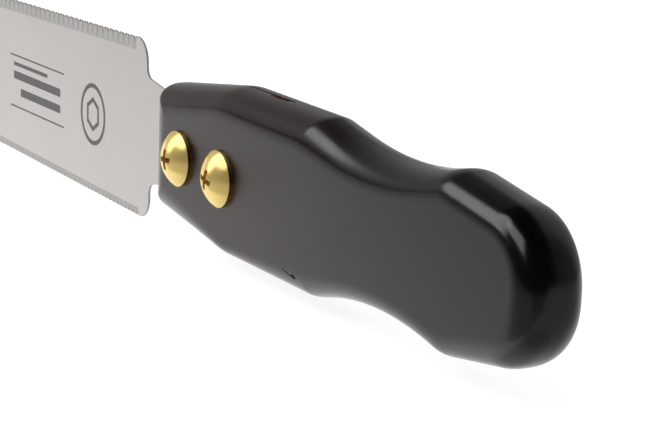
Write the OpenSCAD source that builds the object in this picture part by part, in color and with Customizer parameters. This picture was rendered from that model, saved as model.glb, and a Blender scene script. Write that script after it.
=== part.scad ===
// Small double-edged pull saw for flush trimming. A thin steel blade sits in
// a kerf sawn into a one-piece hardwood handle and is held by two brass
// sleeve screws, each a male screw turned into a sleeve nut from the far side.
//
// X runs along the saw, with the blade's tip at -X and the handle's butt at
// +X. Y runs across its thickness, with the screw heads at -Y. Z is up,
// towards the coarse teeth. The origin is the middle of the grip.

/* [Handle] */
// Length of the handle from its front end to its butt
handle_length = 124.3; // [122.6:0.1:128]
// Thickness between the two flat side faces
handle_thickness = 10.8; // [10.6:0.1:12]
// Reach of an edge's oval rounding into a side face
edge_inset = 4.4; // [3:0.1:4.8]
// Reach of the same rounding across the thickness
edge_depth = 5; // [4:0.1:5]
// Half width at the front end
front_half_width = 11.3; // [10:0.05:12]
// Corner radius at the front end
front_round = 2.9; // [2:0.1:4]
// Distance of the first crest from the front end
hump_x = 28.9; // [26:0.1:31]
// Half width at the first crest
hump_half_width = 15.1; // [14.8:0.05:15.4]
// Corner radius of the first crest
hump_round = 26; // [15:1:35]
// Distance of the second crest from the front end
crest_x = 59.5; // [58.3:0.1:61]
// Half width at the second crest
crest_half_width = 14.8; // [14.3:0.05:15]
// Corner radius of the second crest
crest_round = 8.5; // [6:0.1:12]
// Distance of the waist from the front end
waist_x = 81.3; // [79.8:0.1:81.8]
// Half width at the waist's corner, before it is rounded
waist_half_width = 10.3; // [10.2:0.05:10.9]
// Corner radius of the waist
waist_round = 80; // [50:1:82]
// Distance of the rear swell from the front end
swell_x = 100.1; // [99.8:0.1:102]
// Half width at the rear swell
swell_half_width = 14.25; // [13.7:0.05:14.5]
// Corner radius of the rear swell
swell_round = 9.6; // [7:0.1:11]
// Half width at the butt's corner, before it is rounded
butt_half_width = 10.5; // [10.3:0.05:10.9]
// Corner radius of the butt
butt_round = 11.45; // [9:0.05:11.6]
// Length of the kerf that takes the blade
kerf_length = 45.5; // [42:0.5:50]
// Free play between the blade and each wall of the kerf
kerf_play = 0.03; // [0.02:0.01:0.1]

/* [Blade] */
// Thickness of the blade
blade_thickness = 0.4; // [0.3:0.05:0.6]
// Length of the toothed part, from its heel to its tip
blade_length = 150; // [120:1:180]
// Half width of the blade at its heel
heel_half_width = 17.25; // [16:0.05:18]
// Half width of the blade at its tip
tip_half_width = 15; // [14:0.1:16]
// Distance of the heel's coarse side from the handle's front end
coarse_heel_gap = 13.4; // [12.6:0.1:15]
// Distance of the heel's fine side from the handle's front end
fine_heel_gap = 12.1; // [11.7:0.1:14]
// Corner radius of the heel on the coarse side
coarse_heel_round = 4.6; // [3:0.1:5]
// Corner radius of the heel on the fine side
fine_heel_round = 4.2; // [2:0.1:4.6]
// Corner radius at both corners of the tip
tip_round = 3; // [2:0.1:4]
// Radius of the notch between the heel and the tang
tang_notch_round = 2.2; // [1.5:0.1:2.4]
// Half width of the tang where it leaves the heel
tang_half_width = 10.2; // [9:0.1:10.6]
// Half width of the tang inside the handle
tang_end_half_width = 8; // [7:0.1:9]
// Length of the tang inside the handle
tang_depth = 37; // [35:0.5:40]

/* [Teeth] */
// Distance between the coarse teeth
coarse_pitch = 1.25; // [1:0.05:2]
// Depth of the coarse teeth
coarse_depth = 0.45; // [0.3:0.05:0.8]
// Distance between the fine teeth
fine_pitch = 0.9; // [0.8:0.05:1.2]
// Depth of the fine teeth
fine_depth = 0.35; // [0.2:0.05:0.5]
// Place of a tooth's point within its pitch, nearer the handle as it grows
tooth_lean = 0.68; // [0.5:0.02:0.8]

/* [Sleeve screws] */
// Distance of the front screw from the handle's front end
front_screw_x = 12.2; // [11:0.1:14]
// Height of the front screw above the centreline
front_screw_z = -0.35; // [-1:0.05:1]
// Distance of the rear screw from the handle's front end
rear_screw_x = 28.6; // [26:0.1:31]
// Height of the rear screw above the centreline
rear_screw_z = -0.85; // [-1:0.05:1]
// Diameter of the screw and nut heads
head_diameter = 10; // [9:0.1:10.5]
// Height of the straight rim below a head's dome
rim_height = 0.9; // [0.6:0.1:1.2]
// Rise of a head's dome above its rim
dome_rise = 2.1; // [1.5:0.1:2.4]
// Diameter of the screw's thread
thread_diameter = 4; // [3.5:0.1:4.2]
// Length of the screw under its head
screw_length = 7; // [6:0.1:8]
// Diameter of the nut's sleeve
sleeve_diameter = 5; // [4.8:0.1:5.4]
// Length of the nut's sleeve under its head
sleeve_length = 8.8; // [8:0.1:9.4]
// Depth of the threaded hole in the sleeve
thread_hole_depth = 7.4; // [7:0.1:8]
// Radial clearance between the thread flanks and round the sleeve
running_clearance = 0.05; // [0.02:0.01:0.1]
// Span of the cross recess in a screw's head
recess_span = 4.4; // [3.5:0.1:5]
// Width of one arm of the cross recess
recess_width = 1.1; // [0.8:0.1:1.4]
// Depth of the cross recess below the top of the dome
recess_depth = 1.9; // [1.2:0.1:2.2]
// Width of the screwdriver slot across a nut's head
slot_width = 1.2; // [0.8:0.1:1.6]
// Depth of the slot below the top of the dome
slot_depth = 1.3; // [0.8:0.1:1.8]

/* [Hidden] */
$fn = 64;

// The front end of the handle lies this far ahead of the origin.
grip_middle = handle_length / 2;
half_thickness = handle_thickness / 2;
heel_x = -(coarse_heel_gap + fine_heel_gap) / 2;
tip_x = heel_x - blade_length;
// Cuts that leave the solid run this far past it.
overcut = 1;
// Boxes this tall reach past the handle above and below.
box_height = 2 * hump_half_width + 2 * overcut;

// Number of straight steps in the arc at each outline corner, front to butt.
ARC_STEPS = [6, 5, 8, 10, 8, 12];
// Number of rings that make up the rounding of one edge.
ROUND_STEPS = 8;
// Smallest corner radius left on an outline that has been moved inwards.
MIN_CORNER = 0.3;

function unit(v) = v / norm(v);
function reversed(list) = [for (i = [len(list) - 1 : -1 : 0]) list[i]];

// Points of the arc that rounds the corner at p, between its neighbours a and b.
function corner_arc(a, p, b, radius, steps) =
    let (to_a = unit(a - p), to_b = unit(b - p))
    let (half_angle = acos(to_a * to_b) / 2)
    let (centre = p + unit(to_a + to_b) * radius / sin(half_angle))
    let (reach = radius / tan(half_angle))
    let (start = p + to_a * reach - centre, end = p + to_b * reach - centre)
    let (sweep = 180 - 2 * half_angle)
    let (turn = cross(start, end) > 0 ? sweep : -sweep)
    [for (i = [0 : steps])
        let (angle = turn * i / steps)
        centre + [start.x * cos(angle) - start.y * sin(angle),
                  start.x * sin(angle) + start.y * cos(angle)]];

// ---- Handle ----

// Corners of the upper half of the side outline: x, z, radius, arc steps.
upper_corners = [
    [0, front_half_width, front_round, ARC_STEPS[0]],
    [hump_x, hump_half_width, hump_round, ARC_STEPS[1]],
    [crest_x, crest_half_width, crest_round, ARC_STEPS[2]],
    [waist_x, waist_half_width, waist_round, ARC_STEPS[3]],
    [swell_x, swell_half_width, swell_round, ARC_STEPS[4]],
    [handle_length, butt_half_width, butt_round, ARC_STEPS[5]]
];
// The lower half mirrors the upper one, and the outline runs clockwise.
handle_corners = concat(
    upper_corners,
    [for (c = reversed(upper_corners)) [c[0], -c[1], c[2], c[3]]]
);

// Corner i of the outline after every side has moved inwards by inset.
function inset_corner(i, inset) =
    let (n = len(handle_corners))
    let (p = handle_corners[i])
    let (before = handle_corners[(i + n - 1) % n], after = handle_corners[(i + 1) % n])
    let (d1 = unit([p[0] - before[0], p[1] - before[1]]))
    let (d2 = unit([after[0] - p[0], after[1] - p[1]]))
    let (n1 = [d1.y, -d1.x], n2 = [d2.y, -d2.x])
    let (shift = (n1 + n2) * inset / (1 + n1 * n2))
    let (convex = cross(d1, d2) < 0)
    [p[0] + shift.x, p[1] + shift.y, max(p[2] + (convex ? -inset : inset), MIN_CORNER), p[3]];

// The side outline moved inwards by inset, as a list of [x, z].
function handle_outline(inset) =
    let (n = len(handle_corners))
    let (c = [for (i = [0 : n - 1]) inset_corner(i, inset)])
    let (xz = [for (q = c) [q[0], q[1]]])
    [for (i = [0 : n - 1])
        each corner_arc(xz[(i + n - 1) % n], xz[i], xz[(i + 1) % n], c[i][2], c[i][3])];

// Ring i of the rounding next to the screw side's face, as [inset, y].
function round_ring(i) =
    let (angle = 90 * i / ROUND_STEPS)
    [edge_inset * (1 - sin(angle)), edge_depth * (1 - cos(angle)) - half_thickness];

// Rings across the thickness, from the screw side to the nut side. The first
// and the last lie just past the side faces, where the slab cuts them off.
near_rings = [2 * round_ring(0) - round_ring(1), for (i = [1 : ROUND_STEPS]) round_ring(i)];
rings = concat(near_rings, [for (r = reversed(near_rings)) [r[0], -r[1]]]);

module rounded_body() {
    outlines = [for (r = rings) handle_outline(r[0])];
    count = len(outlines[0]);
    last_ring = len(rings) - 1;
    points = [for (k = [0 : last_ring]) each [for (q = outlines[k]) [q[0], rings[k][1], q[1]]]];
    sides = [for (k = [0 : last_ring - 1], i = [0 : count - 1])
        let (j = (i + 1) % count)
        let (a = k * count + i, b = k * count + j)
        each [[a, a + count, b], [b, a + count, b + count]]];
    near_face = [for (i = [0 : count - 1]) i];
    far_face = [for (i = [count - 1 : -1 : 0]) last_ring * count + i];
    polyhedron(points, concat(sides, [near_face, far_face]), convexity = 6);
}

module handle_blank() {
    intersection() {
        rounded_body();
        translate([-overcut, -half_thickness, -box_height / 2])
            cube([handle_length + 2 * overcut, handle_thickness, box_height]);
    }
}

// Places of the two screws in the side view, as [x, z].
front_screw_place = [front_screw_x, front_screw_z];
rear_screw_place = [rear_screw_x, rear_screw_z];

module sleeve_bores() {
    for (place = [front_screw_place, rear_screw_place])
        translate([place[0], 0, place[1]])
            rotate([90, 0, 0])
                cylinder(
                    d = sleeve_diameter + 2 * running_clearance,
                    h = handle_thickness + 2 * overcut,
                    center = true
                );
}

module kerf() {
    width = blade_thickness + 2 * kerf_play;
    translate([-overcut, -width / 2, -box_height / 2])
        cube([kerf_length + overcut, width, box_height]);
}

module handle() {
    color([0.13, 0.12, 0.12])
        difference() {
            handle_blank();
            kerf();
            sleeve_bores();
        }
}

// ---- Blade ----

// Least plain edge left between the teeth and the rounded corners beside them.
plain_edge = 0.3;
// The tang stops narrowing this far inside the handle.
tang_shoulder_x = 1;
// Number of straight steps in each rounded corner of the blade.
CORNER_STEPS = 8;

// Half width of the blade at x, which narrows evenly towards the tip.
function blade_half_width(x) =
    heel_half_width + (tip_half_width - heel_half_width) * (heel_x - x) / blade_length;

// Points of the row of whole teeth that ends at x, beside the heel's corner.
// Each tooth rises from its gullet to a point on the side nearer the handle.
function tooth_row(x, pitch, depth, side) =
    let (count = floor((x - tip_x - tip_round - plain_edge) / pitch))
    [for (i = [-count : -1], part = [0, 1])
        let (px = x + pitch * (i + part * tooth_lean))
        [px, side * (blade_half_width(px) - depth * (1 - part))]];

coarse_heel = [-coarse_heel_gap, heel_half_width];
fine_heel = [-fine_heel_gap, -heel_half_width];
coarse_tip = [tip_x, tip_half_width];
fine_tip = [tip_x, -tip_half_width];
coarse_notch = [-coarse_heel_gap, tang_half_width];
fine_notch = [-fine_heel_gap, -tang_half_width];
tang_top = [tang_shoulder_x, tang_end_half_width];
tang_bottom = [tang_shoulder_x, -tang_end_half_width];
coarse_row_end = -coarse_heel_gap - coarse_heel_round - plain_edge;
fine_row_end = -fine_heel_gap - fine_heel_round - plain_edge;

blade_outline = concat(
    corner_arc(fine_tip, coarse_tip, coarse_heel, tip_round, CORNER_STEPS),
    tooth_row(coarse_row_end, coarse_pitch, coarse_depth, 1),
    corner_arc(coarse_tip, coarse_heel, coarse_notch, coarse_heel_round, CORNER_STEPS),
    corner_arc(coarse_heel, coarse_notch, tang_top, tang_notch_round, CORNER_STEPS),
    [tang_top, [tang_depth, tang_end_half_width], [tang_depth, -tang_end_half_width], tang_bottom],
    corner_arc(tang_bottom, fine_notch, fine_heel, tang_notch_round, CORNER_STEPS),
    corner_arc(fine_notch, fine_heel, fine_tip, fine_heel_round, CORNER_STEPS),
    reversed(tooth_row(fine_row_end, fine_pitch, fine_depth, -1)),
    corner_arc(fine_heel, fine_tip, coarse_tip, tip_round, CORNER_STEPS)
);

module blade() {
    color([0.76, 0.74, 0.72])
        difference() {
            rotate([90, 0, 0])
                linear_extrude(height = blade_thickness, center = true)
                    polygon(blade_outline);
            sleeve_bores();
        }
}

// ---- Sleeve screws ----

// A low domed head that stands on z = 0 with its dome up.
module domed_head() {
    dome_radius = (pow(head_diameter / 2, 2) + pow(dome_rise, 2)) / (2 * dome_rise);
    intersection() {
        cylinder(d = head_diameter, h = rim_height + dome_rise);
        translate([0, 0, rim_height + dome_rise - dome_radius])
            sphere(r = dome_radius);
    }
}

// A bar-shaped cut into the top of a head, long in x before it is turned.
module head_cut(length, width, depth, turn) {
    rotate([0, 0, turn])
        translate([-length / 2, -width / 2, rim_height + dome_rise - depth])
            cube([length, width, depth + overcut]);
}

module screw() {
    difference() {
        union() {
            domed_head();
            translate([0, 0, -screw_length])
                cylinder(d = thread_diameter, h = screw_length + rim_height / 2);
        }
        for (turn = [0, 90])
            head_cut(recess_span, recess_width, recess_depth, turn);
    }
}

module sleeve_nut() {
    hole_diameter = thread_diameter + 2 * running_clearance;
    difference() {
        union() {
            domed_head();
            translate([0, 0, -sleeve_length])
                cylinder(d = sleeve_diameter, h = sleeve_length + rim_height / 2);
        }
        translate([0, 0, -sleeve_length - overcut])
            cylinder(d = hole_diameter, h = thread_hole_depth + overcut);
        head_cut(head_diameter + 2 * overcut, slot_width, slot_depth, 0);
    }
}

// Seats a screw on the -Y face, or a nut on the +Y face.
module on_near_face(place) {
    translate([place[0], -half_thickness, place[1]])
        rotate([90, 0, 0])
            children();
}

module on_far_face(place) {
    translate([place[0], half_thickness, place[1]])
        rotate([-90, 0, 0])
            children();
}

module front_screw() {
    color([0.8, 0.66, 0.38]) on_near_face(front_screw_place) screw();
}

module rear_screw() {
    color([0.8, 0.66, 0.38]) on_near_face(rear_screw_place) screw();
}

module front_sleeve_nut() {
    color([0.76, 0.62, 0.35]) on_far_face(front_screw_place) sleeve_nut();
}

module rear_sleeve_nut() {
    color([0.76, 0.62, 0.35]) on_far_face(rear_screw_place) sleeve_nut();
}

// ---- The saw, moved so that the middle of its grip is the origin ----

module placed() {
    translate([-grip_middle, 0, 0]) children();
}

placed() handle();
placed() blade();
placed() front_screw();
placed() rear_screw();
placed() front_sleeve_nut();
placed() rear_sleeve_nut();
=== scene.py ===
"""Looks of a small double-edged pull saw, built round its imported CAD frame.

The frame is in metres: X runs from the blade's tip to the handle's butt, the
screw heads are on the -Y side, and Z points to the coarse teeth. Outlines are
worked out in millimetres from the handle's front end, as a drawing would be.
"""

import math

import bmesh
import bpy
from mathutils import Matrix, Vector


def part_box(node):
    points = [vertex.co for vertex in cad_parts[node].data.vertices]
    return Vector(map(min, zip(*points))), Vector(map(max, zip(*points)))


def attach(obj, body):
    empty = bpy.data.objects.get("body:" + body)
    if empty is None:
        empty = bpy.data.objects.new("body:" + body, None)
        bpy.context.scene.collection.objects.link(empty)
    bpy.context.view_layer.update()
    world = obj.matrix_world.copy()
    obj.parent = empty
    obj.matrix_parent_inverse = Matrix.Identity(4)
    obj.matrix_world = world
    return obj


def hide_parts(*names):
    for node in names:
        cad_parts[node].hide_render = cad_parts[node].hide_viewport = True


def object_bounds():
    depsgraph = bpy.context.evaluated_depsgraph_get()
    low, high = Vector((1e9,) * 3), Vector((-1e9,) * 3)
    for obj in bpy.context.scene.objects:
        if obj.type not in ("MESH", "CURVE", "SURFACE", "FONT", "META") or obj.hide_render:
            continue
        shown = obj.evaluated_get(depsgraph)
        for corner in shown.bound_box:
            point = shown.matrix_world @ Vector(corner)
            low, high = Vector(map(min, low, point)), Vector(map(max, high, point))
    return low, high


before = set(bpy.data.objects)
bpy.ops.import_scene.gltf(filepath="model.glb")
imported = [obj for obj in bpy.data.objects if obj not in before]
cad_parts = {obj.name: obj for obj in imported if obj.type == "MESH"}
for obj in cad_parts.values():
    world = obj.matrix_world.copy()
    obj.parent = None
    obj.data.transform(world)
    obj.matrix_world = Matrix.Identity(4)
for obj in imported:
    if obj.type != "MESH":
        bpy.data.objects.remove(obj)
cad_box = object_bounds()

MM = 0.001

# Places that the frame gives, in metres.
FRONT_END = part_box("handle")[0].x
FACE_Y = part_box("handle")[1].y
FLOOR_Z = cad_box[0].z

# ---- Handle, in millimetres from its front end ----

EDGE_INSET = 6
EDGE_DEPTH = 5
EDGE_RINGS = 24
# The edge leaves the face more gently than an ellipse would, by this power.
EDGE_EASE = 1.4
SMALLEST_CORNER = 0.3
FRONT_END_STEPS = 20


class Corner:
    """A corner of the handle's outline, with its twin below the centreline.

    The steps divide its arc and the straight run after it. The shares scale the
    inset of the rounded edge at the top and at the bottom. The inset corner leans
    along X at the top, and the lower twin rises as a whole."""

    def __init__(self, x, z, radius, steps, top_share, low_share, lean=0, rise=0):
        self.top = Vector((x, z))
        self.low = Vector((x, rise - z))
        self.radius = radius
        self.arc_steps, self.run_steps = steps
        self.top_share, self.low_share = top_share, low_share
        self.lean = lean


# From the front end over two crests, the waist and the swell to the butt
HANDLE_CORNERS = [
    Corner(0, 11.3, radius=2.9, steps=(12, 28), top_share=1.08, low_share=1.0),
    Corner(28.9, 15.1, 26, steps=(14, 28), top_share=1.04, low_share=0.42, lean=-2.8, rise=0.65),
    Corner(59.5, 14.8, 8.5, steps=(14, 6), top_share=1.05, low_share=0.75, lean=-3.6, rise=-0.1),
    Corner(81.3, 10.3, radius=80, steps=(36, 3), top_share=0.74, low_share=0.42, rise=0.45),
    Corner(100.1, 14.25, radius=9.6, steps=(18, 14), top_share=0.78, low_share=0.7, rise=0.15),
    Corner(124.3, 10.5, radius=11.45, steps=(40, 2), top_share=0.76, low_share=0.95, rise=-0.15),
]
KERF_LENGTH = 45.5
KERF_WIDTH = 0.46
BORE_RADIUS = 2.55
# How far the cutters of the kerf and the bores reach past the handle
KERF_MARGIN = 1
BORE_MARGIN = 1
# A nick low on the near side with a deeper pit at one end, lined with painted shade,
# and a chip at the kerf's lip. The radii are along X, Y and Z, and the turn is in degrees.
NICK = {"centre": (54.6, -5.35, -11.6), "radii": (2.3, 0.11, 0.32), "turn": -8}
NICK_PIT = {"centre": (56.1, -5.35, -11.82), "radii": (0.9, 0.26, 0.34), "turn": -8}
CHIP = {"centre": (41.2, -0.55, 15.02), "radii": (3.6, 0.85, 0.3), "turn": 0}

# ---- Blade, in millimetres from the handle's front end ----

BLADE_HALF_THICK = 0.2
HEEL_X = -12.75
BLADE_LENGTH = 150
TIP_X = HEEL_X - BLADE_LENGTH
HEEL_HALF_WIDTH = 17.25
TIP_HALF_WIDTH = 15
CORNER_STEPS = 20
PLAIN_EDGE = 0.3
# The band is the height of the ground strip, and the grind its depth into a face.
COARSE_TEETH = {"pitch": 1.25, "depth": 0.45, "band": 2.5, "grind": 0.16}
FINE_TEETH = {"pitch": 0.9, "depth": 0.35, "band": 1.5, "grind": 0.12}
GULLET_GRIND_SHARE = 0.2
# A tooth's point is nearer the handle than the gullet before it, by this share of
# the pitch.
TOOTH_LEAN = 0.68
COARSE_HEEL_X = -13.4
COARSE_HEEL_ROUND = 4.6
FINE_HEEL_X = -12.1
FINE_HEEL_ROUND = 4.2
TIP_ROUND = 3
NOTCH_ROUND = 2.2
NECK_HALF_WIDTH = 10.2
TANG_HALF_WIDTH = 8
TANG_START_X = 1
TANG_END_X = 37

# ---- Sleeve screws, in millimetres from the underside of a head ----

HEAD_RADIUS = 5
RIM_HEIGHT = 0.6
DOME_RISE = 2.4
HEAD_CHAMFER = 0.08
DOME_STEPS = 26
LATHE_SEGMENTS = 128
THREAD_RADIUS = 2
THREAD_DEPTH = 0.35
THREAD_PITCH = 0.7
THREAD_ROWS_PER_TURN = 10
# A thread's flanks are this much steeper than a plain zigzag, and its root is flat
# for this share of its depth.
THREAD_STEEPNESS = 1.3
THREAD_ROOT = 0.15
SCREW_LENGTH = 7
SCREW_POINT_RADIUS = 1.5
SCREW_POINT_LENGTH = 0.25
THREAD_RUNOUT = 0.8
NECK_LENGTH = 0.6
SLEEVE_RADIUS = 2.5
SLEEVE_LENGTH = 8.8
SLEEVE_CHAMFER = 0.15
NUT_HOLE_RADIUS = 2.05
NUT_HOLE_DEPTH = 7.4
NUT_HOLE_FLARE = 0.12
# A driver's cross is two of these bars, in a head turned by so many degrees.
CROSS_BAR = {"length": 4.0, "width": 0.95, "depth": 1.9, "taper": 0.45}
RECESS_TURNS = {"front_screw": 2, "rear_screw": -14}
SLOT = {"length": 12, "width": 1.2, "depth": 1.3, "taper": 0.95}
RECESS_MARGIN = 0.6
SCREWS = ("front_screw", "rear_screw")
NUTS = ("front_sleeve_nut", "rear_sleeve_nut")
# Slots of a fastener's mesh: 0 is its brass, then its recess and its rim, whose darker brass is
# painted shade.
RIM_SLOT = 2


# ---- Plane outlines ----


def arc_points(before, corner, after, radius, steps):
    """The arc that rounds a corner, from its first tangent point to its last."""
    to_before = (before - corner).normalized()
    to_after = (after - corner).normalized()
    half = to_before.angle(to_after) / 2
    centre = corner + (to_before + to_after).normalized() * radius / math.sin(half)
    start = corner + to_before * radius / math.tan(half) - centre
    end = corner + to_after * radius / math.tan(half) - centre
    sweep = math.pi - 2 * half
    if start.x * end.y - start.y * end.x < 0:
        sweep = -sweep
    return [centre + Matrix.Rotation(sweep * i / steps, 2) @ start for i in range(steps + 1)]


def inset_corner(before, corner, after, inset):
    """A corner of a clockwise outline after its two sides have moved inwards."""
    along = (corner - before).normalized()
    away = (after - corner).normalized()
    inward_1 = Vector((along.y, -along.x))
    inward_2 = Vector((away.y, -away.x))
    shift = (inward_1 + inward_2) * inset / (1 + inward_1.dot(inward_2))
    convex = along.x * away.y - along.y * away.x < 0
    return corner + shift, -inset if convex else inset


def inset_handle_corners(inset):
    """The handle's corners, clockwise, after its sides have moved inwards: place,
    radius, steps in the arc and steps in the run after it."""
    upper, lower = [], []
    run_before = FRONT_END_STEPS
    for corner in HANDLE_CORNERS:
        lean = Vector((corner.lean * inset / EDGE_INSET, 0))
        upper.append((corner.top, corner, corner.run_steps, inset * corner.top_share, lean))
        no_lean = Vector((0, 0))
        lower.insert(0, (corner.low, corner, run_before, inset * corner.low_share, no_lean))
        run_before = corner.run_steps
    corners = upper + lower
    moved = []
    for i, (point, corner, run_steps, own_inset, lean) in enumerate(corners):
        before, after = corners[i - 1][0], corners[(i + 1) % len(corners)][0]
        place, grow = inset_corner(before, point, after, own_inset)
        radius = max(corner.radius + grow, SMALLEST_CORNER)
        moved.append((place + lean, radius, corner.arc_steps, run_steps))
    return moved


def handle_outline(inset):
    """The handle's side outline, clockwise, with its sides moved inwards."""
    corners = inset_handle_corners(inset)
    count = len(corners)
    arcs = []
    for i, (point, radius, arc_steps, _) in enumerate(corners):
        before, after = corners[i - 1][0], corners[(i + 1) % count][0]
        arcs.append(arc_points(before, point, after, radius, arc_steps))
    points = []
    for i, arc in enumerate(arcs):
        points += arc
        following = arcs[(i + 1) % count][0]
        run_steps = corners[i][3]
        points += [arc[-1].lerp(following, k / run_steps) for k in range(1, run_steps)]
    return points


# ---- Mesh helpers ----


def new_object(name, bm, *materials):
    """Turns a bmesh in the row frame into an object with its materials."""
    bmesh.ops.recalc_face_normals(bm, faces=bm.faces)
    mesh = bpy.data.meshes.new(name)
    bm.to_mesh(mesh)
    bm.free()
    obj = bpy.data.objects.new(name, mesh)
    bpy.context.scene.collection.objects.link(obj)
    for material in materials:
        mesh.materials.append(material)
    return obj


def from_front(x, y, z):
    """A place given in millimetres from the handle's front end, in metres."""
    return Vector((FRONT_END + x * MM, y * MM, z * MM))


def cut(obj, cutter):
    """Takes cutter's solid out of obj and removes the cutter."""
    boolean = obj.modifiers.new("cut", "BOOLEAN")
    boolean.operation = "DIFFERENCE"
    boolean.solver = "EXACT"
    boolean.object = cutter
    apply_modifiers(obj)
    bpy.data.objects.remove(cutter)


def apply_modifiers(obj):
    graph = bpy.context.evaluated_depsgraph_get()
    mesh = bpy.data.meshes.new_from_object(obj.evaluated_get(graph))
    obj.modifiers.clear()
    old = obj.data
    obj.data = mesh
    bpy.data.meshes.remove(old)


def smooth(obj, angle):
    """Smooth shading, with edges sharper than angle left crisp."""
    obj.data.shade_smooth()
    obj.data.set_sharp_from_angle(angle=math.radians(angle))
    weighted = obj.modifiers.new("flat faces stay flat", "WEIGHTED_NORMAL")
    weighted.keep_sharp = True
    weighted.weight = 100


def wall_between(bm, loop, other):
    """Joins two closed loops of as many vertices."""
    for i in range(len(loop)):
        j = (i + 1) % len(loop)
        bm.faces.new((loop[i], loop[j], other[j], other[i]))


def bore_cutter(screw, material):
    """A cutter right through the saw along a screw's axis."""
    bm = bmesh.new()
    reach = 2 * (FACE_Y + BORE_MARGIN * MM)
    bmesh.ops.create_cone(
        bm,
        cap_ends=True,
        segments=96,
        radius1=BORE_RADIUS * MM,
        radius2=BORE_RADIUS * MM,
        depth=reach,
    )
    bmesh.ops.rotate(bm, verts=bm.verts, matrix=Matrix.Rotation(math.pi / 2, 3, "X"))
    bmesh.ops.translate(bm, verts=bm.verts, vec=screw_axis(screw))
    return new_object("bore", bm, material)


def gouge_cutter(material, centre, radii, turn):
    """A slim ellipsoid, turned about Y, that leaves a shallow gouge."""
    bm = bmesh.new()
    bmesh.ops.create_icosphere(bm, subdivisions=4, radius=MM)
    bmesh.ops.scale(bm, verts=bm.verts, vec=radii)
    tilt = Matrix.Rotation(math.radians(-turn), 3, "Y")
    bmesh.ops.rotate(bm, verts=bm.verts, matrix=tilt)
    bmesh.ops.translate(bm, verts=bm.verts, vec=from_front(*centre))
    return new_object("gouge", bm, material)


def box_cutter(name, low, high, material):
    bm = bmesh.new()
    bmesh.ops.create_cube(bm, size=1)
    size = high - low
    bmesh.ops.scale(bm, verts=bm.verts, vec=size)
    bmesh.ops.translate(bm, verts=bm.verts, vec=(low + high) / 2)
    return new_object(name, bm, material)


def screw_axis(node):
    """Where a screw's axis crosses the plane of the blade."""
    low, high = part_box(node)
    return Vector(((low.x + high.x) / 2, 0, (low.z + high.z) / 2))


# ---- Materials ----


class Shader:
    """A Principled material whose nodes are added by name."""

    def __init__(self, name, **constants):
        self.material = bpy.data.materials.new(name)
        self.material.use_nodes = True
        self.tree = self.material.node_tree
        self.bsdf = self.tree.nodes["Principled BSDF"]
        for socket, value in constants.items():
            self.bsdf.inputs[socket.replace("_", " ")].default_value = value
        self.coordinates = self.tree.nodes.new("ShaderNodeTexCoord").outputs["Object"]

    def add(self, kind, **values):
        node = self.tree.nodes.new("ShaderNode" + kind)
        for name, value in values.items():
            setattr(node, name, value)
        return node

    def link(self, output, target):
        self.tree.links.new(output, target)

    def stretched(self, scale, turn=(0, 0, 0)):
        """Object coordinates, scaled per metre along each axis."""
        mapping = self.add("Mapping")
        self.link(self.coordinates, mapping.inputs["Vector"])
        mapping.inputs["Rotation"].default_value = turn
        mapping.inputs["Scale"].default_value = scale
        return mapping.outputs["Vector"]

    def along(self, axis, start, end, folded=False):
        """0 up to one place on an axis, 1 from another on, and smooth between.

        A folded axis counts both ways from its middle."""
        split = self.add("SeparateXYZ")
        self.link(self.coordinates, split.inputs[0])
        place = split.outputs[axis]
        if folded:
            place = self.math("ABSOLUTE", place, 0)
        fade = self.add("MapRange", interpolation_type="SMOOTHSTEP")
        self.link(place, fade.inputs["Value"])
        fade.inputs["From Min"].default_value = start
        fade.inputs["From Max"].default_value = end
        return fade.outputs["Result"]

    def noise(self, scale, detail=4, roughness=0.5, turn=(0, 0, 0), distortion=0):
        noise = self.add("TexNoise")
        self.link(self.stretched(scale, turn), noise.inputs["Vector"])
        noise.inputs["Scale"].default_value = 1
        noise.inputs["Detail"].default_value = detail
        noise.inputs["Roughness"].default_value = roughness
        noise.inputs["Distortion"].default_value = distortion
        return noise.outputs["Fac"]

    def ramp(self, factor, *stops):
        """A colour ramp from (place, colour) stops. A number means a grey."""
        ramp = self.add("ValToRGB")
        self.link(factor, ramp.inputs["Fac"])
        elements = ramp.color_ramp.elements
        while len(elements) < len(stops):
            elements.new(0.5)
        for element, (place, colour) in zip(elements, stops):
            element.position = place
            grey = isinstance(colour, (int, float))
            element.color = (colour, colour, colour, 1) if grey else (*colour, 1)
        return ramp.outputs["Color"]

    def mix(self, kind, factor, a, b):
        mix = self.add("Mix", data_type="RGBA", blend_type=kind)
        for socket, value in ((0, factor), (6, a), (7, b)):
            if isinstance(value, bpy.types.NodeSocket):
                self.link(value, mix.inputs[socket])
            else:
                mix.inputs[socket].default_value = value
        return mix.outputs[2]

    def math(self, operation, a, b):
        node = self.add("Math", operation=operation)
        for i, value in enumerate((a, b)):
            if isinstance(value, bpy.types.NodeSocket):
                self.link(value, node.inputs[i])
            else:
                node.inputs[i].default_value = value
        return node.outputs[0]

    def bump(self, height, depth, strength=1.0, under=None):
        bump = self.add("Bump")
        bump.inputs["Distance"].default_value = depth
        bump.inputs["Strength"].default_value = strength
        self.link(height, bump.inputs["Height"])
        if under is not None:
            self.link(under, bump.inputs["Normal"])
        return bump.outputs["Normal"]

    def finish(self, colour=None, roughness=None, normal=None):
        linked = {"Base Color": colour, "Roughness": roughness, "Normal": normal}
        for socket, value in linked.items():
            if value is not None:
                self.link(value, self.bsdf.inputs[socket])
        return self.material


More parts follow.
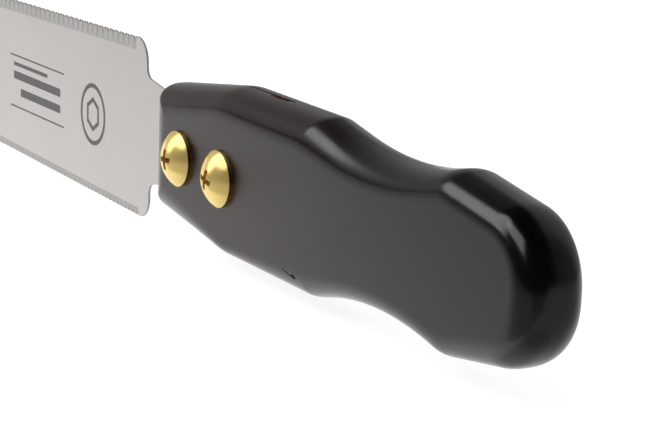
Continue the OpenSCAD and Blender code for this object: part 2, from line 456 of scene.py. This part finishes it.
def stained_wood():
    """Black-stained hardwood with fine fibres and pores under a thin oil sheen."""
    wood = Shader("stained_wood", IOR=1.5)
    sanding = wood.noise((2400, 450, 450), detail=4, roughness=0.6)
    fibres = wood.noise((160, 2200, 2200), detail=4, roughness=0.6)
    figure = wood.noise((25, 90, 110), detail=4, roughness=0.55, distortion=0.8)
    thin_stain = wood.ramp(
        figure, (0.35, (0.011, 0.0035, 0.004)), (0.7, (0.021, 0.006, 0.007))
    )
    deep_stain = wood.ramp(
        figure, (0.35, (0.0008, 0.0008, 0.0008)), (0.7, (0.003, 0.0022, 0.0022))
    )
    # The stain is thinner towards the front end.
    colour = wood.mix("MIX", wood.along("X", -0.03, 0.025), thin_stain, deep_stain)
    # The side faces are flat and a little duller than the rubbed edges.
    rubbed = wood.ramp(figure, (0.3, 0.17), (0.75, 0.22))
    dull = wood.ramp(figure, (0.3, 0.27), (0.75, 0.33))
    on_face = wood.along("Y", 0.97 * FACE_Y, 0.995 * FACE_Y, folded=True)
    roughness = wood.mix("MIX", on_face, rubbed, dull)
    normal = wood.bump(sanding, 0.000014, 0.5)
    normal = wood.bump(fibres, 0.000008, 0.4, under=normal)
    return wood.finish(colour, roughness, normal)


def painted_shade_wood():
    """Dark-stained wood inside the kerf and the bores, and in the nick's pit, kept dark as painted
    shade for these narrow hollows.
    """
    wood = Shader("painted_shade_wood", IOR=1.4)
    grain = wood.noise((60, 1600, 1600), detail=5, roughness=0.6)
    colour = wood.ramp(grain, (0.3, (0.006, 0.004, 0.003)), (0.75, (0.02, 0.011, 0.008)))
    roughness = wood.ramp(grain, (0.3, 0.75), (0.8, 0.9))
    return wood.finish(colour, roughness)


def raw_wood():
    """Bare reddish wood where the stain has chipped away."""
    wood = Shader("raw_wood", IOR=1.4)
    grain = wood.noise((900, 3000, 3000), detail=5, roughness=0.6)
    colour = wood.ramp(grain, (0.3, (0.05, 0.014, 0.012)), (0.7, (0.2, 0.07, 0.06)))
    roughness = wood.ramp(grain, (0.3, 0.6), (0.8, 0.8))
    return wood.finish(colour, roughness, wood.bump(grain, 0.00005, 0.6))


def ground_steel(name, metallic, colour, roughness, lines, turn=(0, 0, 0)):
    """Satin steel with fine grinding lines that run across the blade."""
    steel = Shader(name, Metallic=metallic)
    streaks = steel.noise(lines, detail=4, roughness=0.65, turn=turn)
    clouds = steel.noise((35, 35, 35), detail=3)
    dark = tuple(0.93 * c for c in colour)
    tone = steel.ramp(streaks, (0.3, dark), (0.7, colour))
    cloud_tone = steel.ramp(clouds, (0.35, (0.97, 0.975, 0.97)), (0.65, (1.0, 1.0, 1.0)))
    tone = steel.mix("MULTIPLY", 1.0, tone, cloud_tone)
    rough = steel.ramp(streaks, (0.3, roughness - 0.04), (0.7, roughness + 0.04))
    return steel.finish(tone, rough, steel.bump(streaks, 0.000004, 0.5))


def etched_steel():
    """Dark oxide left by marking the steel."""
    etch = Shader("etched_steel", Metallic=0.6)
    speckle = etch.noise((3500, 3500, 3500), detail=3, roughness=0.6)
    colour = etch.ramp(speckle, (0.3, (0.13, 0.125, 0.12)), (0.7, (0.2, 0.19, 0.18)))
    roughness = etch.ramp(speckle, (0.3, 0.5), (0.7, 0.62))
    return etch.finish(colour, roughness, etch.bump(speckle, 0.000005, 0.4))


def turned_brass():
    """Satin brass with faint turning marks and a little tarnish."""
    brass = Shader("turned_brass", Metallic=0.55)
    marks = brass.noise((3600, 3600, 3600), detail=3, roughness=0.55)
    tarnish = brass.noise((260, 260, 260), detail=4, roughness=0.55)
    colour = brass.ramp(
        tarnish, (0.3, (0.88, 0.65, 0.21)), (0.55, (0.9, 0.68, 0.23)), (0.8, (0.91, 0.7, 0.25))
    )
    roughness = brass.ramp(marks, (0.3, 0.24), (0.75, 0.27))
    return brass.finish(colour, roughness, brass.bump(marks, 0.0000006, 0.2))


def shaded_rim_brass():
    """Turned brass round the side of a head, fully metallic so it reflects the dark room, with a
    colour darker than the dome's as painted shade.
    """
    brass = Shader("shaded_rim_brass", Metallic=1.0)
    marks = brass.noise((3600, 3600, 3600), detail=3, roughness=0.55)
    colour = brass.ramp(marks, (0.3, (0.6, 0.4, 0.13)), (0.75, (0.68, 0.47, 0.16)))
    roughness = brass.ramp(marks, (0.3, 0.2), (0.75, 0.28))
    return brass.finish(colour, roughness)


def recess_brass():
    """Brown brass where a driver's recess has kept its tarnish."""
    brass = Shader("recess_brass", Metallic=0.5)
    tarnish = brass.noise((1800, 1800, 1800), detail=4, roughness=0.6)
    colour = brass.ramp(tarnish, (0.3, (0.42, 0.23, 0.035)), (0.75, (0.62, 0.36, 0.07)))
    roughness = brass.ramp(tarnish, (0.3, 0.4), (0.75, 0.55))
    return brass.finish(colour, roughness)


def plain_floor():
    """Pale paper lit a little from behind, as on a light table."""
    floor = Shader("plain_floor", IOR=1.3, Emission_Strength=0.86)
    mottle = floor.noise((14, 14, 14), detail=2)
    colour = floor.ramp(mottle, (0.3, (0.34, 0.34, 0.34)), (0.7, (0.36, 0.36, 0.36)))
    roughness = floor.ramp(mottle, (0.3, 0.9), (0.7, 0.95))
    floor.bsdf.inputs["Emission Color"].default_value = (1, 1, 1, 1)
    return floor.finish(colour, roughness)


STAINED_WOOD = stained_wood()
# Dark wood for the kerf, the bores and the nick's pit: painted shade.
PAINTED_SHADE_WOOD = painted_shade_wood()
RAW_WOOD = raw_wood()
STEEL = ground_steel(
    "satin_steel",
    metallic=1.0,
    colour=(0.74, 0.695, 0.67),
    roughness=0.34,
    lines=(9000, 9000, 90),
)
TOOTH_STEEL = ground_steel(
    "tooth_steel",
    metallic=0.4,
    colour=(0.47, 0.455, 0.435),
    roughness=0.42,
    lines=(9000, 9000, 500),
    turn=(0, math.radians(20), 0),
)
ETCHED_STEEL = etched_steel()
BRASS = turned_brass()
# The sides of the heads get a darker brass: painted shade.
SHADED_RIM_BRASS = shaded_rim_brass()
RECESS_BRASS = recess_brass()


# ---- Handle ----


def handle_blank():
    """The handle before its kerf and bores are cut, lofted across its thickness."""
    half_thick = FACE_Y / MM
    rings = []
    for i in range(EDGE_RINGS + 1):
        angle = math.pi / 2 * i / EDGE_RINGS
        inset = EDGE_INSET * (1 - math.sin(angle))
        rings.append((inset, half_thick - EDGE_DEPTH * (1 - math.cos(angle)) ** EDGE_EASE))
    rings = [(inset, -y) for inset, y in rings] + rings[::-1]
    bm = bmesh.new()
    loops = []
    for inset, y in rings:
        loops.append([bm.verts.new(from_front(p.x, y, p.y)) for p in handle_outline(inset)])
    for near, far in zip(loops, loops[1:]):
        wall_between(bm, near, far)
    bm.faces.new(loops[0])
    bm.faces.new(loops[-1])
    return bm


def make_handle():
    handle = new_object("handle_wood", handle_blank(), STAINED_WOOD, PAINTED_SHADE_WOOD, RAW_WOOD)
    cut(handle, gouge_cutter(STAINED_WOOD, **NICK))
    # The pit, the kerf and the bores are lined with wood painted dark as shade.
    cut(handle, gouge_cutter(PAINTED_SHADE_WOOD, **NICK_PIT))
    cut(handle, gouge_cutter(RAW_WOOD, **CHIP))
    reach = max(corner.top.y for corner in HANDLE_CORNERS) + KERF_MARGIN
    low = from_front(-KERF_MARGIN, -KERF_WIDTH / 2, -reach)
    high = from_front(KERF_LENGTH, KERF_WIDTH / 2, reach)
    cut(handle, box_cutter("kerf", low, high, PAINTED_SHADE_WOOD))
    for screw in SCREWS:
        cut(handle, bore_cutter(screw, PAINTED_SHADE_WOOD))
    smooth(handle, angle=32)
    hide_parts("handle")
    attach(handle, "saw")
    return handle


# ---- Blade ----


def blade_half_width(x):
    return HEEL_HALF_WIDTH + (TIP_HALF_WIDTH - HEEL_HALF_WIDTH) * (HEEL_X - x) / BLADE_LENGTH


# Slots of the blade's mesh
PLATE_SLOT = 0
GROUND_SLOT = 1


class BladeMesh:
    """The blade as two faces joined by a wall, with every tooth ground thin."""

    def __init__(self):
        self.bm = bmesh.new()
        self.rim = []
        self.plate = []

    def pair(self, x, z, near=0.0, far=0.0):
        """One place on the blade: a point on each face, less what is ground off."""
        return (
            self.bm.verts.new(from_front(x, near - BLADE_HALF_THICK, z)),
            self.bm.verts.new(from_front(x, BLADE_HALF_THICK - far, z)),
        )

    def plain(self, points):
        """Points of the outline where the blade has its full thickness."""
        for point in points:
            pair = self.pair(point.x, point.y)
            self.rim.append(pair)
            self.plate.append(pair)

    def face(self, pairs, slot):
        """The same face on both sides of the blade."""
        for side in (0, 1):
            self.bm.faces.new([pair[side] for pair in pairs]).material_index = slot

    def teeth(self, end, side, pitch, depth, band, grind):
        """A row of teeth that ends at the heel, ground by turns from one face and
        from the other. Side is 1 for the coarse edge and -1 for the fine one."""
        count = math.floor((end - TIP_X - TIP_ROUND - PLAIN_EDGE) / pitch)
        gullets, points, roots = [], [], []
        for i in range(count + 1):
            x = end + pitch * (i - count)
            z = blade_half_width(x)
            ground = 0 if i in (0, count) else GULLET_GRIND_SHARE * grind
            gullets.append(self.pair(x, side * (z - depth), ground, ground))
            roots.append(self.pair(x, side * (z - band)))
            if i < count:
                x += pitch * TOOTH_LEAN
                cuts = (grind, 0) if i % 2 else (0, grind)
                points.append(self.pair(x, side * blade_half_width(x), *cuts))
        for i in range(count):
            self.face((roots[i], gullets[i], points[i]), GROUND_SLOT)
            self.face((roots[i], points[i], roots[i + 1]), GROUND_SLOT)
            self.face((roots[i + 1], points[i], gullets[i + 1]), GROUND_SLOT)
        rim = [pair for both in zip(gullets, points) for pair in both] + [gullets[-1]]
        inner = [gullets[0], *roots, gullets[-1]]
        self.rim += rim if side > 0 else rim[::-1]
        self.plate += inner if side > 0 else inner[::-1]

    def close(self):
        self.face(self.plate, PLATE_SLOT)
        for a, b in zip(self.rim, self.rim[1:] + self.rim[:1]):
            self.bm.faces.new((a[0], b[0], b[1], a[1])).material_index = GROUND_SLOT
        return self.bm


def blade_mesh():
    """The outline runs clockwise as seen from the screw heads, from the tip."""
    coarse_tip = Vector((TIP_X, TIP_HALF_WIDTH))
    fine_tip = Vector((TIP_X, -TIP_HALF_WIDTH))
    coarse_heel = Vector((COARSE_HEEL_X, HEEL_HALF_WIDTH))
    fine_heel = Vector((FINE_HEEL_X, -HEEL_HALF_WIDTH))
    coarse_notch = Vector((COARSE_HEEL_X, NECK_HALF_WIDTH))
    fine_notch = Vector((FINE_HEEL_X, -NECK_HALF_WIDTH))
    tang_top = Vector((TANG_START_X, TANG_HALF_WIDTH))
    tang_bottom = Vector((TANG_START_X, -TANG_HALF_WIDTH))
    tang_end = [Vector((TANG_END_X, z)) for z in (TANG_HALF_WIDTH, -TANG_HALF_WIDTH)]
    coarse_end = COARSE_HEEL_X - COARSE_HEEL_ROUND - PLAIN_EDGE
    fine_end = FINE_HEEL_X - FINE_HEEL_ROUND - PLAIN_EDGE
    blade = BladeMesh()
    blade.plain(arc_points(fine_tip, coarse_tip, coarse_heel, TIP_ROUND, CORNER_STEPS))
    blade.teeth(coarse_end, 1, **COARSE_TEETH)
    blade.plain(arc_points(coarse_tip, coarse_heel, coarse_notch, COARSE_HEEL_ROUND, CORNER_STEPS))
    blade.plain(arc_points(coarse_heel, coarse_notch, tang_top, NOTCH_ROUND, CORNER_STEPS))
    blade.plain([tang_top, *tang_end, tang_bottom])
    blade.plain(arc_points(tang_bottom, fine_notch, fine_heel, NOTCH_ROUND, CORNER_STEPS))
    blade.plain(arc_points(fine_notch, fine_heel, fine_tip, FINE_HEEL_ROUND, CORNER_STEPS))
    blade.teeth(fine_end, -1, **FINE_TEETH)
    blade.plain(arc_points(fine_heel, fine_tip, coarse_tip, TIP_ROUND, CORNER_STEPS))
    return blade.close()


def make_blade():
    blade = new_object("blade_steel", blade_mesh(), STEEL, TOOTH_STEEL)
    for screw in SCREWS:
        cut(blade, bore_cutter(screw, STEEL))
    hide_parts("blade")
    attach(blade, "saw")
    return blade


# ---- Etching on the near face: a plain ring, a hexagon and rows of bars ----

ETCH_PROUD = 0.004
ETCH_SINK = 0.05
RING_CENTRE = (-39, -1.3)
RING_RADII = (6.2, 5.3)
HEXAGON_RADII = (3.5, 2.5)
# x from, x to, z, height of each bar
ETCHED_BARS = [
    (-84, -54, 4.4, 0.35),
    (-82, -63, 2.6, 0.8),
    (-82, -56, 0.2, 1.7),
    (-78, -56, -3.2, 1.7),
    (-84, -54, -6.6, 0.35),
]


def etched_shape(bm, outer, inner=None):
    """A thin plate on the near face, with a hole of the same point count."""
    levels = (-BLADE_HALF_THICK - ETCH_PROUD, -BLADE_HALF_THICK + ETCH_SINK)
    outside = [[bm.verts.new(from_front(x, y, z)) for x, z in outer] for y in levels]
    wall_between(bm, *outside)
    if inner is None:
        for loop in outside:
            bm.faces.new(loop)
        return
    inside = [[bm.verts.new(from_front(x, y, z)) for x, z in inner] for y in levels]
    wall_between(bm, *inside)
    for loop, other in zip(outside, inside):
        wall_between(bm, loop, other)


def polygon(centre, radius, sides, turn=0.0):
    """A regular polygon's corners as (x, z)."""
    angles = [turn + 2 * math.pi * i / sides for i in range(sides)]
    return [(centre[0] + radius * math.cos(a), centre[1] + radius * math.sin(a)) for a in angles]


def make_etching():
    bm = bmesh.new()
    outer, inner = (polygon(RING_CENTRE, radius, sides=96) for radius in RING_RADII)
    etched_shape(bm, outer, inner)
    outer, inner = (
        polygon(RING_CENTRE, radius, sides=6, turn=math.pi / 6) for radius in HEXAGON_RADII
    )
    etched_shape(bm, outer, inner)
    for x1, x2, z, height in ETCHED_BARS:
        low, high = z - height / 2, z + height / 2
        etched_shape(bm, [(x1, low), (x1, high), (x2, high), (x2, low)])
    etching = new_object("blade_etching", bm, ETCHED_STEEL)
    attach(etching, "saw")
    return etching


# ---- Sleeve screws ----


def lathe(rows):
    """Turns rows of (radius, height) into a solid along +Z. A radius may be a
    function of the angle. The first and last rows have radius 0."""
    bm = bmesh.new()
    rings = []
    for radius, height in rows[1:-1]:
        ring = []
        for i in range(LATHE_SEGMENTS):
            angle = 2 * math.pi * i / LATHE_SEGMENTS
            r = radius(angle) if callable(radius) else radius
            ring.append(bm.verts.new((r * math.cos(angle), r * math.sin(angle), height)))
        rings.append(ring)
    for low, high in zip(rings, rings[1:]):
        wall_between(bm, low, high)
    for (_, height), ring in ((rows[0], rings[0]), (rows[-1], rings[-1])):
        end = bm.verts.new((0, 0, height))
        for i in range(LATHE_SEGMENTS):
            bm.faces.new((end, ring[i], ring[(i + 1) % LATHE_SEGMENTS]))
    return bm


def paint_rim(bm):
    """Gives the upright side of a head, where it has its full radius, its own slot, for the darker
    brass of painted shade.
    """
    for face in bm.faces:
        if all(vert.co.xy.length > 0.999 * HEAD_RADIUS for vert in face.verts):
            face.material_index = RIM_SLOT


def head_rows():
    """The domed head, from the edge of its underside to its top."""
    eased = 0.3 * HEAD_CHAMFER
    rows = [(HEAD_RADIUS - HEAD_CHAMFER, 0), (HEAD_RADIUS - eased, eased)]
    rows.append((HEAD_RADIUS, HEAD_CHAMFER))
    top = RIM_HEIGHT + DOME_RISE
    sphere = (HEAD_RADIUS**2 + DOME_RISE**2) / (2 * DOME_RISE)
    rim_angle = math.asin(HEAD_RADIUS / sphere)
    for i in range(DOME_STEPS):
        angle = rim_angle * (1 - i / DOME_STEPS)
        rows.append((sphere * math.sin(angle), top - sphere * (1 - math.cos(angle))))
    return rows + [(0, top)]


def thread_radius(height):
    """The radius round a screw thread at one height, as a function of angle."""

    def radius(angle):
        phase = (height / THREAD_PITCH - angle / (2 * math.pi)) % 1
        ridge = 1 - abs(2 * phase - 1)
        flank = min(1, max(0, THREAD_STEEPNESS * ridge - THREAD_ROOT))
        return THREAD_RADIUS - THREAD_DEPTH * (1 - flank)

    return radius


def screw_rows():
    rows = [(0, -SCREW_LENGTH), (SCREW_POINT_RADIUS, -SCREW_LENGTH)]
    start, end = SCREW_POINT_LENGTH - SCREW_LENGTH, -THREAD_RUNOUT
    steps = round((end - start) / THREAD_PITCH * THREAD_ROWS_PER_TURN)
    for i in range(steps + 1):
        height = start + (end - start) * i / steps
        rows.append((thread_radius(height), height))
    neck_radius = THREAD_RADIUS - THREAD_DEPTH
    rows += [(neck_radius, -NECK_LENGTH), (neck_radius, 0)]
    return rows + head_rows()


def nut_rows():
    """Starts at the bottom of the threaded hole and goes out over its mouth."""
    mouth = -SLEEVE_LENGTH
    bottom = mouth + NUT_HOLE_DEPTH
    chamfered = mouth + SLEEVE_CHAMFER
    rows = [(0, bottom), (NUT_HOLE_RADIUS, bottom)]
    rows += [(NUT_HOLE_RADIUS, chamfered), (NUT_HOLE_RADIUS + NUT_HOLE_FLARE, mouth)]
    rows += [(SLEEVE_RADIUS - SLEEVE_CHAMFER, mouth), (SLEEVE_RADIUS, chamfered)]
    return rows + [(SLEEVE_RADIUS, 0)] + head_rows()


def tapered_bar(length, width, depth, taper, turn):
    """A cutter with a smaller foot, standing in the top of a head."""
    top = RIM_HEIGHT + DOME_RISE
    bm = bmesh.new()
    bmesh.ops.create_cube(bm, size=1)
    for vert in bm.verts:
        up = vert.co.z > 0
        share = 1 + (1 - taper) * RECESS_MARGIN / depth if up else taper
        vert.co.x *= length * share
        vert.co.y *= width * share
        vert.co.z = top + RECESS_MARGIN if up else top - depth
    bmesh.ops.rotate(bm, verts=bm.verts, matrix=Matrix.Rotation(math.radians(turn), 3, "Z"))
    return new_object("recess", bm, RECESS_BRASS)


def seat(obj, node, side):
    """Turns a head-up fastener onto the near (-1) or far (+1) face of the handle."""
    turn = Matrix.Rotation(-side * math.pi / 2, 4, "X")
    place = Matrix.Translation(screw_axis(node) + Vector((0, side * FACE_Y, 0)))
    obj.data.transform(place @ turn @ Matrix.Scale(MM, 4))


def fastener(node, rows):
    """A turned fastener, head up at the origin and in millimetres."""
    solid = lathe(rows)
    paint_rim(solid)
    return new_object(node + "_brass", solid, BRASS, RECESS_BRASS, SHADED_RIM_BRASS)


def make_screw(node):
    screw = fastener(node, screw_rows())
    for turn in (0, 90):
        cut(screw, tapered_bar(turn=RECESS_TURNS[node] + turn, **CROSS_BAR))
    return finish_fastener(screw, node, side=-1)


def make_nut(node):
    nut = fastener(node, nut_rows())
    cut(nut, tapered_bar(turn=0, **SLOT))
    return finish_fastener(nut, node, side=1)


def finish_fastener(obj, node, side):
    seat(obj, node, side)
    smooth(obj, angle=35)
    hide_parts(node)
    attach(obj, node)
    return obj


# ---- Stage ----


def make_floor():
    bm = bmesh.new()
    bmesh.ops.create_grid(bm, x_segments=8, y_segments=8, size=6)
    bmesh.ops.translate(bm, verts=bm.verts, vec=(0, 0, FLOOR_Z))
    floor = new_object("floor", bm, plain_floor())
    for face in floor.data.polygons:
        if face.normal.z < 0:
            floor.data.flip_normals()
            break
    floor.visible_glossy = False
    return floor


def direction(azimuth, elevation):
    """A unit vector; azimuth 0 points along -Y and 90 along +X."""
    a, e = math.radians(azimuth), math.radians(elevation)
    return Vector((math.sin(a) * math.cos(e), -math.cos(a) * math.cos(e), math.sin(e)))


def area_light(name, azimuth, elevation, distance, size, radiance):
    """A soft oval light of the given radiance that faces the saw."""
    light = bpy.data.lights.new(name, "AREA")
    light.shape = "ELLIPSE"
    light.size, light.size_y = size
    light.energy = radiance * math.pi * math.pi / 4 * size[0] * size[1]
    lamp = bpy.data.objects.new(name, light)
    bpy.context.scene.collection.objects.link(lamp)
    away = direction(azimuth, elevation)
    lamp.location = away * distance
    lamp.rotation_mode = "QUATERNION"
    lamp.rotation_quaternion = away.to_track_quat("Z", "Y")
    lamp.visible_camera = False
    return lamp


def make_lights():
    """One large softbox in front and to the left, and an overhead fill for the floor."""
    area_light(
        "softbox", azimuth=-44, elevation=34.5, distance=1.6, size=(0.88, 1.85), radiance=2.8
    )
    overhead = area_light(
        "overhead_fill", azimuth=-150, elevation=75, distance=1.6, size=(2.4, 2.4), radiance=0.9
    )
    overhead.visible_glossy = False


class WorldNodes:
    """Adds nodes to a world's tree, and links them."""

    def __init__(self, world):
        world.use_nodes = True
        self.tree = world.node_tree
        self.tree.nodes.clear()

    def add(self, kind):
        return self.tree.nodes.new("ShaderNode" + kind)

    def put(self, value, target):
        if isinstance(value, bpy.types.NodeSocket):
            self.tree.links.new(value, target)
        else:
            target.default_value = value

    def math(self, operation, *values):
        node = self.add("Math")
        node.operation = operation
        for value, target in zip(values, node.inputs):
            self.put(value, target)
        return node.outputs[0]

    def fade(self, value, start, end, low, high):
        """low up to start, high from end on, and a smooth change between."""
        node = self.add("MapRange")
        node.interpolation_type = "SMOOTHSTEP"
        for number, target in zip((value, start, end, low, high), node.inputs):
            self.put(number, target)
        return node.outputs[0]


# What the saw reflects, as a strength for each direction (x, y, z) from the saw


def pale_wall(nodes, x, y):
    """A wall behind the saw, dimmer to the right."""
    wall = nodes.fade(y, 0.42, 0.6, 0.0, 1.0)
    return nodes.math("MULTIPLY", wall, nodes.fade(x, 0.1, 0.4, 0.5, 0.2))


def window(nodes, x, y, z):
    """A window high in front, which shows mostly in the screw heads."""
    light = nodes.fade(z, 0.44, 0.52, 0.0, 2.6)
    light = nodes.math("MULTIPLY", light, nodes.fade(x, -0.42, -0.34, 0.0, 1.0))
    light = nodes.math("MULTIPLY", light, nodes.fade(x, 0.22, 0.34, 1.0, 0.0))
    return nodes.math("MULTIPLY", light, nodes.fade(y, -0.55, -0.4, 1.0, 0.0))


def room(nodes, x, y, z):
    """All that is above the table: the wall, a paler left side and the window."""
    left = nodes.fade(x, -0.97, -0.55, 0.37, 0.01)
    light = nodes.math("MAXIMUM", pale_wall(nodes, x, y), left)
    light = nodes.math("MULTIPLY", light, nodes.fade(z, -0.02, 0.02, 0.0, 1.0))
    return nodes.math("MAXIMUM", light, window(nodes, x, y, z))


def apron(nodes, y, z):
    """Faint light from below, which comes up nearer to level straight in front."""
    below = nodes.fade(z, -0.42, -0.06, 0.36, 0.0)
    in_front = nodes.fade(y, -0.72, -0.6, 1.0, 0.0)
    near = nodes.math("MULTIPLY", in_front, nodes.fade(z, -0.26, -0.08, 0.42, 0.0))
    return nodes.math("MAXIMUM", below, near)


def table(nodes, x, y, z):
    """A white table to the left. Its far edge climbs towards the left."""
    edge = nodes.math("MULTIPLY_ADD", x, -0.323, 0.055)
    edge = nodes.math("MULTIPLY_ADD", y, 1.005, edge)
    edge = nodes.math("MINIMUM", edge, nodes.fade(y, -0.1, 0.1, 0.15, 0.0))
    light = nodes.fade(nodes.math("SUBTRACT", edge, z), 0.0, 0.03, 0.0, 1.22)
    light = nodes.math("MULTIPLY", light, nodes.fade(x, -0.2, 0.5, 1.0, 0.45))
    light = nodes.math("MULTIPLY", light, nodes.fade(y, -0.1, 0.3, 1.0, 0.85))
    return nodes.math("MULTIPLY", light, nodes.fade(z, -0.9, -0.6, 0.7, 1.0))


def make_world():
    """The room round the saw. The camera sees a plain pale backdrop instead."""
    world = bpy.data.worlds.new("studio")
    bpy.context.scene.world = world
    nodes = WorldNodes(world)
    split = nodes.add("SeparateXYZ")
    nodes.put(nodes.add("TexCoord").outputs["Generated"], split.inputs[0])
    x, y, z = split.outputs
    strength = nodes.math("MAXIMUM", room(nodes, x, y, z), apron(nodes, y, z))
    strength = nodes.math("MAXIMUM", strength, table(nodes, x, y, z))
    room_light, backdrop = nodes.add("Background"), nodes.add("Background")
    nodes.put(strength, room_light.inputs["Strength"])
    for background in (room_light, backdrop):
        background.inputs["Color"].default_value = (1, 1, 1, 1)
    backdrop.inputs["Strength"].default_value = 0.97
    choose = nodes.add("MixShader")
    nodes.put(nodes.add("LightPath").outputs["Is Camera Ray"], choose.inputs["Fac"])
    nodes.put(room_light.outputs[0], choose.inputs[1])
    nodes.put(backdrop.outputs[0], choose.inputs[2])
    nodes.put(choose.outputs[0], nodes.add("OutputWorld").inputs["Surface"])


def make_camera():
    """A long lens, a little above the saw, that looks back along the handle."""
    azimuth, elevation, roll = 60.943, 12.6, 1.649
    place = from_front(375.67, -177.05, 79.41)
    back = direction(azimuth, elevation)
    camera = bpy.data.cameras.new("camera")
    camera.sensor_width = 36
    camera.lens = 126.7
    camera.clip_start, camera.clip_end = 0.01, 20
    rig = bpy.data.objects.new("camera", camera)
    bpy.context.scene.collection.objects.link(rig)
    facing = back.to_track_quat("Z", "Y").to_matrix().to_4x4()
    tilt = Matrix.Rotation(math.radians(roll), 4, "Z")
    rig.matrix_world = Matrix.Translation(place) @ facing @ tilt
    bpy.context.scene.camera = rig


make_camera()
make_handle()
make_blade()
make_etching()
for screw in SCREWS:
    make_screw(screw)
for nut in NUTS:
    make_nut(nut)
make_floor()
make_lights()
make_world()
bpy.context.scene.view_settings.view_transform = "Standard"
bpy.context.scene.view_settings.look = "None"
